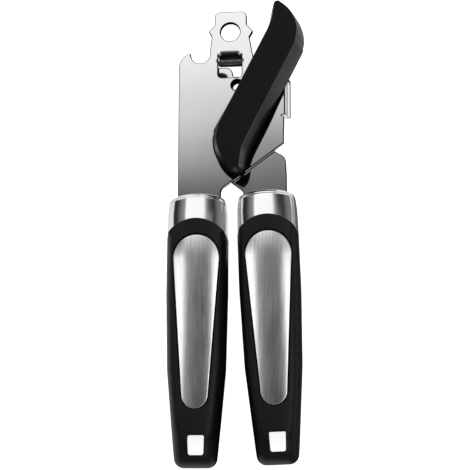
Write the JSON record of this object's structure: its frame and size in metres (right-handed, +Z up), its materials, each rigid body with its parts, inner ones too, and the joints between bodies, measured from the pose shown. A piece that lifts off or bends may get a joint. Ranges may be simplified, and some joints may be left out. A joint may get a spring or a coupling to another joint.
{
  "type": "manual can opener",
  "caption": "Hand-held can opener with two black-gripped steel levers, steel inlays, a black turn key, a feed wheel and a cutting wheel.",
  "frame": {"origin": "on the table under the middle of the closed tool, which lies on its back", "axes": "+Y from the handle ends to the head, +X across to the right handle, +Z up through the turn key"},
  "size_m": [0.0634, 0.2104, 0.028],
  "materials": {
    "plate_steel": "polished stainless sheet",
    "collar_chrome": "mirror chrome",
    "inlay_steel": "brushed along the handle",
    "grip_plastic": "satin black moulding",
    "key_plastic": "satin black moulding",
    "core_plastic": "plain black nylon",
    "tool_steel": "ground hardened steel",
    "bearing_bronze": "sintered bronze"
  },
  "bodies": {
    "front_lever": {"front_plate": "plate_steel", "left_ferrule": "collar_chrome", "left_grip_front": "grip_plastic", "left_grip_back": "grip_plastic", "left_inlay_front": "inlay_steel", "left_inlay_back": "inlay_steel", "left_screws": "tool_steel", "pivot_rivet": "plate_steel", "cutter_rivet": "tool_steel", "cutter_spacer": "plate_steel"},
    "rear_lever": {"rear_plate": "plate_steel", "right_ferrule": "collar_chrome", "right_grip_front": "grip_plastic", "right_grip_back": "grip_plastic", "right_inlay_front": "inlay_steel", "right_inlay_back": "inlay_steel", "right_screws": "tool_steel", "shaft_bushing": "bearing_bronze"},
    "cutter": {"cutting_wheel": "tool_steel"},
    "drive": {"drive_shaft": "tool_steel", "thrust_washer": "plate_steel", "knob_shell": "key_plastic", "knob_core": "core_plastic", "feed_wheel": "tool_steel", "spring_washer": "plate_steel", "feed_screw": "tool_steel"}
  },
  "joints": [
    {"name": "lever_pivot", "type": "hinge", "parent": "front_lever", "child": "rear_lever", "pos_m": [0.0005, 0.06905, 0.00935], "axis": [0, 0, 1], "range_deg": [0, 30]},
    {"name": "key_turn", "type": "hinge", "parent": "rear_lever", "child": "drive", "pos_m": [0.01085, 0.0646, 0.00935], "axis": [0, 0, 1], "continuous": true},
    {"name": "cutter_spin", "type": "hinge", "parent": "front_lever", "child": "cutter", "pos_m": [-0.00045, 0.057, 0.00325], "axis": [0, 0, 1], "continuous": true}
  ]
}
